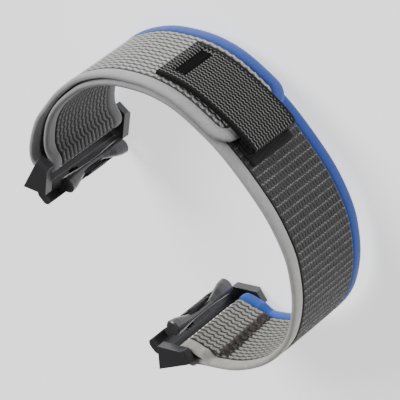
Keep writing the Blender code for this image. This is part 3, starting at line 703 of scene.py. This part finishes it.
# The tab's line runs back toward the tip, so its normals may point inward; this turns them out.
TAB_TURN = -1 if TAB.at(TAB.length / 3)[1].dot(RUN.at(tab_end)[1]) < 0 else 1
tab_half = TAB_WIDTH / 2


def lean(along):
    """The tab is sewn on slightly askew, nearer the grey edge at its fixed end."""
    return TAB_LEAN + (TAB_LEAN_AT_FOLD - TAB_LEAN) * min(along / abs(tab_start - tab_end), 1.0)


def pressed(along, across):
    """How far the tab is pressed down, from 0 to 1, where the patch is sunk into it."""
    inside = min(
        along - SLOT_FROM_END, SLOT_FROM_END + SLOT_LENGTH - along,
        SLOT_WIDTH / 2 - abs(across - SLOT_SHIFT),
    )
    share = min(max((inside + SLOT_EDGE / 2) / SLOT_EDGE, 0.0), 1.0)
    return share * share * (3 - 2 * share)


tab_rows = int(TAB.length / TAB_GRID)
tab_columns = int(TAB_WIDTH / TAB_GRID)
tab_points, tab_places = [], []
for i in range(tab_rows + 1):
    along = TAB.length * i / tab_rows
    for side in (1, -1):
        for j in range(tab_columns + 1):
            across = -tab_half + TAB_WIDTH * j / tab_columns
            near_edge = tab_half - abs(across)
            rounding = max(0.0, 1 - near_edge / TAB_EDGE_ROUND)
            height = TAB_THICK / 2 - TAB_EDGE_ROUND * rounding
            if side > 0:
                height -= SLOT_DEPTH * pressed(along, across)
            tab_points.append(TAB.bend(along, across + lean(along), height * side * TAB_TURN))
            tab_places.append((along, across, height * side))


# Nylon webbing in a black twill: dull, with thin wavy columns of pale threads 0.73 mm apart,
# broken into short dashes. A strip along each side edge is plain black.
TAB_COLUMN_PITCH = 0.729 * MM
TAB_ZIGZAG_PITCH = 0.94 * MM
TAB_ZIGZAG_HEIGHT = 0.12 * MM
TAB_DASH_PITCH = 0.47 * MM
TAB_PLAIN_EDGE = (0.9 * MM, 0.7 * MM)
TWILL_TUFTS_PER_MM = 2.2


def black_twill():
    mat, tree, shader = finish_named("black_nylon_twill", 0.85, Specular_IOR_Level=0.25)
    place, along, across = weave_places(tree)[:3]
    turn = add(tree, "Math", (along, math.tau * MM / TAB_ZIGZAG_PITCH), operation="MULTIPLY")
    sway = add(tree, "Math", (turn,), operation="SINE")
    placed = add(tree, "Math", (sway, TAB_ZIGZAG_HEIGHT / MM, across), operation="MULTIPLY_ADD")
    column = thread_swing(tree, placed, TAB_COLUMN_PITCH)
    thread = add(tree, "MapRange", (column, 0.55, 0.95), interpolation_type="SMOOTHSTEP")
    dash = thread_swing(tree, along, TAB_DASH_PITCH)
    dash_light = add(tree, "Math", (dash, 0.5, 0.5), operation="MULTIPLY_ADD")
    seen = add(tree, "Math", (thread, dash_light), operation="MULTIPLY")
    from_middle = add(tree, "Math", (across,), operation="ABSOLUTE")
    edge_at = [(tab_half - inset) / MM for inset in TAB_PLAIN_EDGE]
    plain = add(tree, "MapRange", (from_middle, *edge_at, 1.0, 0.0), interpolation_type="SMOOTHSTEP")
    seen = add(tree, "Math", (seen, plain), operation="MULTIPLY")
    grain = add(tree, "TexNoise", {"Vector": place, "Scale": TWILL_TUFTS_PER_MM, "Detail": 3.0})
    ground = add(tree, "Mix", {0: grain, 6: linear("#060606"), 7: linear("#141414")}, data_type="RGBA")
    colour = add(tree, "Mix", {0: seen, 6: ground, 7: linear("#8c8c8a")}, data_type="RGBA")
    height = add(tree, "Math", (seen, column), operation="ADD")
    tree.links.new(colour, shader.inputs["Base Color"])
    relief = add(tree, "Bump", {"Height": height, "Distance": 0.1 * MM})
    tree.links.new(relief, shader.inputs["Normal"])
    return mat


tab_faces = strip_faces(tab_rows, tab_columns)
tab = piece("pull_tab", tab_points, tab_faces, tab_places, (black_twill(),))
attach(tab, "strap")
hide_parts("pull_tab_webbing")


# Pressed patch
# Where the tab is joined to the free end, a smooth black patch is pressed into it.
# It is thermoplastic, melted into the webbing.
PATCH_MARGIN = 0.12 * MM
PATCH_TOP = 0.06 * MM
PATCH_UNDER = -0.16 * MM
PATCH_EDGE_DROPS = (0.14 * MM, 0.05 * MM, 0.015 * MM)
patch_rows, patch_columns = 12, 40


def slab_faces(rows, columns):
    """Faces of a flat pad: a grid above, the same grid below and a wall round the border."""
    wide = columns + 1
    below = (rows + 1) * wide
    faces = []
    for i in range(rows):
        for j in range(columns):
            a = i * wide + j
            for first in (a, a + below):
                faces.append((first, first + 1, first + wide + 1, first + wide))
    border = list(range(wide))
    border += [i * wide + columns for i in range(1, rows + 1)]
    border += [rows * wide + j for j in range(columns - 1, -1, -1)]
    border += [i * wide for i in range(rows - 1, 0, -1)]
    for a, b in zip(border, border[1:] + border[:1]):
        faces.append((a, b, b + below, a + below))
    return faces


patch_points, patch_places = [], []
for side in (1, -1):
    for i in range(patch_rows + 1):
        for j in range(patch_columns + 1):
            along = SLOT_FROM_END + PATCH_MARGIN + (SLOT_LENGTH - 2 * PATCH_MARGIN) * i / patch_rows
            across = (SLOT_WIDTH - 2 * PATCH_MARGIN) * (j / patch_columns - 0.5)
            edge = min(i, patch_rows - i, j, patch_columns - j)
            drop = PATCH_EDGE_DROPS[edge] if edge < len(PATCH_EDGE_DROPS) else 0.0
            height = PATCH_TOP - drop if side > 0 else PATCH_UNDER
            patch_points.append(TAB.bend(along, across + SLOT_SHIFT + lean(along), height * TAB_TURN))
            patch_places.append((along, across, height))


# Thermoplastic, melted and pressed: almost black, even and dull, with a faint ripple.
RIPPLES_PER_MM = 1.4


def pressed_plastic():
    mat, tree, shader = finish_named("pressed_black_plastic", 0.7, Specular_IOR_Level=0.06)
    place = add(tree, "Attribute", out="Vector", attribute_name="weave_mm")
    grain = add(tree, "TexNoise", {"Vector": place, "Scale": RIPPLES_PER_MM, "Detail": 4.0})
    colour = add(tree, "Mix", {0: grain, 6: linear("#070707"), 7: linear("#101010")}, data_type="RGBA")
    tree.links.new(colour, shader.inputs["Base Color"])
    relief = add(tree, "Bump", {"Height": grain, "Distance": 0.05 * MM})
    tree.links.new(relief, shader.inputs["Normal"])
    return mat


patch_faces = slab_faces(patch_rows, patch_columns)
patch = piece("pressed_patch", patch_points, patch_faces, patch_places, (pressed_plastic(),))
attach(patch, "strap")
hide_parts("tab_slot_patch")


# Hook pad
# A strip of hook tape, which is usually sewn under such a tab, grips the run's loops.
# It shows as a dark band past the tab's fold.
HOOK_SHOWS = 2.0 * MM
HOOK_UNDER_TIP = 0.3 * MM
HOOK_WIDTH = 11.9 * MM
HOOK_SHIFT = 0.9 * MM
HOOK_EDGE_DROP = 0.14 * MM
hook_start = TIP_STATION - TAB_PAST_TONGUE - TAB_THICK - HOOK_SHOWS
hook_end = TIP_STATION - HOOK_UNDER_TIP
hook_level = EDGE_THICK / 2 + HOOK_GAP + HOOK_THICK / 2
hook_rows, hook_columns = 20, 34
hook_points, hook_places = [], []
for side in (1, -1):
    for i in range(hook_rows + 1):
        for j in range(hook_columns + 1):
            along = hook_start + (hook_end - hook_start) * i / hook_rows
            across = HOOK_WIDTH * (j / hook_columns - 0.5)
            edge = min(i, j, hook_columns - j)
            drop = HOOK_EDGE_DROP if edge == 0 and side > 0 else 0.0
            height = side * HOOK_THICK / 2 - drop
            hook_points.append(RUN.bend(along, across + HOOK_SHIFT, hook_level + height))
            hook_places.append((along, across, height))


# Woven hook tape: dull black, with rows of stiff nylon hooks that run slightly askew, 0.7 mm
# apart. The single hooks are too fine to show and aren't drawn.
HOOK_ROW_PITCH = 0.7 * MM
HOOK_ROW_SLANT = 0.14
STREAKS_PER_MM = 1.2


def hook_tape():
    mat, tree, shader = finish_named("woven_hook_tape", 0.8, Specular_IOR_Level=0.2)
    place, along, across = weave_places(tree)[:3]
    askew = add(tree, "Math", (across, HOOK_ROW_SLANT, along), operation="MULTIPLY_ADD")
    row = thread_swing(tree, askew, HOOK_ROW_PITCH)
    streak = add(tree, "TexNoise", {"Vector": place, "Scale": STREAKS_PER_MM, "Detail": 4.0})
    colour = add(tree, "Mix", {0: streak, 6: linear("#1a1a1a"), 7: linear("#282828")}, data_type="RGBA")
    on_row = add(tree, "Math", (row, 0.15), operation="MULTIPLY")
    colour = add(tree, "Mix", {0: on_row, 6: colour, 7: linear("#343434")}, data_type="RGBA")
    tree.links.new(colour, shader.inputs["Base Color"])
    relief = add(tree, "Bump", {"Height": row, "Distance": 0.05 * MM})
    tree.links.new(relief, shader.inputs["Normal"])
    return mat


hook = piece("hook_tape", hook_points, slab_faces(hook_rows, hook_columns), hook_places, (hook_tape(),))
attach(hook, "strap")
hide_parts("hook_pad")


# Connectors
# Each connector is a cast zinc frame with two horns, a waisted plug screwed to it from behind
# and a sliding release button. The bar in the ribbon's fold, the screws and the springs are steel.

# Zinc under a satin black coating: it mirrors a little, with a fine uneven grain from the casting. Every
# edge is slightly rounded, and a painted highlight lightens it.
EDGE_ROUNDING = 0.14 * MM
GRAINS_PER_MM = 0.9
CLOUDS_PER_MM = 0.16
EDGE_HIGHLIGHT_RANGE = (0.985, 0.80)


def coated_metal(name, dark, light, roughness, grain_depth):
    mat, tree, shader = finish_named(name, roughness, Metallic=0.35, Coat_Weight=0.15, Coat_Roughness=0.25)
    place = add(tree, "TexCoord", out="Object")
    grain = add(tree, "TexNoise", {"Vector": place, "Scale": GRAINS_PER_MM / MM, "Detail": 4.0})
    cloud = add(tree, "TexNoise", {"Vector": place, "Scale": CLOUDS_PER_MM / MM, "Detail": 2.0})
    rounded = add(tree, "Bevel", {"Radius": EDGE_ROUNDING}, samples=6)
    flat = add(tree, "NewGeometry", out="True Normal")
    same = add(tree, "VectorMath", (rounded, flat), out="Value", operation="DOT_PRODUCT")
    # Painted highlight: where the rounded normal leaves the flat one, at the edges, the colour turns light
    # grey.
    painted_edge_highlight = add(tree, "MapRange", (same, *EDGE_HIGHLIGHT_RANGE), interpolation_type="SMOOTHSTEP")
    colour = add(tree, "Mix", {0: cloud, 6: linear(dark), 7: linear(light)}, data_type="RGBA")
    colour = add(tree, "Mix", {0: painted_edge_highlight, 6: colour, 7: linear("#808082")}, data_type="RGBA")
    tree.links.new(colour, shader.inputs["Base Color"])
    uneven = add(tree, "Math", (grain, 0.5), operation="SUBTRACT")
    rough = add(tree, "Math", (uneven, 0.12, roughness), operation="MULTIPLY_ADD")
    tree.links.new(rough, shader.inputs["Roughness"])
    relief = add(tree, "Bump", {"Height": grain, "Distance": grain_depth, "Normal": rounded})
    tree.links.new(relief, shader.inputs["Normal"])
    return mat


# Stainless steel turned on a lathe: bright, with fine lines round it, drawn 0.25 mm apart.
LINES_PER_MM = (0.06, 0.06, 4.0)


def turned_steel():
    mat, tree, shader = finish_named("turned_stainless_steel", 0.28, Metallic=1.0)
    place = add(tree, "TexCoord", out="Object")
    per_metre = [count / MM for count in LINES_PER_MM]
    lines = add(tree, "Mapping", {"Vector": place, "Scale": per_metre})
    grain = add(tree, "TexNoise", {"Vector": lines, "Scale": 1.0, "Detail": 2.0})
    colour = add(tree, "Mix", {0: grain, 6: linear("#8f9093"), 7: linear("#b9babd")}, data_type="RGBA")
    tree.links.new(colour, shader.inputs["Base Color"])
    relief = add(tree, "Bump", {"Height": grain, "Distance": 0.01 * MM})
    tree.links.new(relief, shader.inputs["Normal"])
    return mat


frame_black = coated_metal("coated_cast_zinc", "#38383a", "#464648", 0.34, 0.012 * MM)
plug_black = coated_metal("coated_turned_plug", "#4c4c4e", "#545456", 0.28, 0.008 * MM)
button_black = coated_metal("coated_button", "#242425", "#303031", 0.38, 0.01 * MM)
steel = turned_steel()
METAL_OF = {
    "connector_frame": frame_black, "saddle_plug": plug_black, "release_button": button_black,
    "strap_bar": steel, "screw": steel, "spring": steel,
}
for node_name, node_object in frame["nodes"].items():
    for part_name, metal in METAL_OF.items():
        if part_name in node_name:
            node_object.data.materials.clear()
            node_object.data.materials.append(metal)


# Camera
# It looks at the closure from above, with the strap's width running down to the left,
# as in the product photograph. The lens is long, so the perspective is weak.
CAMERA_TURN = math.radians(91.5)
CAMERA_RISE = math.radians(36.87)
PICTURE_WIDTH = 400.0
FOCAL_PIXELS = 2829.0
PIXELS_PER_MM = 5.11
SENSOR_WIDTH = 36.0
CAMERA_ROLL = (0.7935, 0.6086)
AIM = Vector((-1.098, 0.408, 12.8)) * MM
DROP_PIXELS = 4.0
back = Vector((
    math.sin(CAMERA_TURN) * math.cos(CAMERA_RISE),
    -math.cos(CAMERA_TURN) * math.cos(CAMERA_RISE),
    math.sin(CAMERA_RISE),
))
level_up = (Vector((0, 0, 1)) - back * back.z).normalized()
level_right = level_up.cross(back)
roll = Vector(CAMERA_ROLL).normalized()
right = -level_up * roll.x - level_right * roll.y
up = level_right * roll.x - level_up * roll.y
distance = FOCAL_PIXELS / PIXELS_PER_MM * MM
camera = bpy.data.objects.new("camera", bpy.data.cameras.new("camera"))
bpy.context.collection.objects.link(camera)
camera.data.sensor_width = SENSOR_WIDTH
camera.data.lens = FOCAL_PIXELS * SENSOR_WIDTH / PICTURE_WIDTH
camera.data.clip_start = distance / 100
camera.data.clip_end = distance * 10
stand = AIM + back * distance - up * DROP_PIXELS / PIXELS_PER_MM * MM
camera.matrix_world = Matrix.Translation(stand) @ Matrix((right, up, back)).transposed().to_4x4()
bpy.context.scene.camera = camera


# Floor and light
# A plain white floor that stays pale under the strap, one large soft light from the upper
# connector's side, a weak fill from the camera's side and an even, weak white surround.
FLOOR_REACH = 3.0
FLOOR_DROP = 0.2 * MM
floor_mesh = bpy.data.meshes.new("floor")
corners = [(-FLOOR_REACH, -FLOOR_REACH, 0), (FLOOR_REACH, -FLOOR_REACH, 0)]
corners += [(FLOOR_REACH, FLOOR_REACH, 0), (-FLOOR_REACH, FLOOR_REACH, 0)]
floor_mesh.from_pydata(corners, [], [(0, 1, 2, 3)])
floor = bpy.data.objects.new("floor", floor_mesh)
bpy.context.collection.objects.link(floor)
floor.location.z = -FLOOR_DROP
paper = finish_named(
    "white_paper_floor", 0.9, Base_Color=linear("#f4f4f4"),
    Emission_Color=linear("#ffffff"), Emission_Strength=1.1,
)[0]
floor.data.materials.append(paper)


def sun(name, towards, strength, softness):
    """A distant light that shines along a direction, blurred over an angle in degrees."""
    lamp = bpy.data.lights.new(name, "SUN")
    lamp.energy = strength
    lamp.angle = math.radians(softness)
    made = bpy.data.objects.new(name, lamp)
    bpy.context.collection.objects.link(made)
    made.rotation_mode = "QUATERNION"
    made.rotation_quaternion = Vector(towards).to_track_quat("-Z", "Y")


sun("key_light", (0.0, -0.80, -0.64), 2.8, 35)
sun("fill_light", (-0.60, 0.25, -0.75), 0.15, 60)
world = bpy.data.worlds.new("studio")
world.use_nodes = True
surround = world.node_tree.nodes["Background"]
surround.inputs["Color"].default_value = linear("#ffffff")
surround.inputs["Strength"].default_value = 0.16
bpy.context.scene.world = world
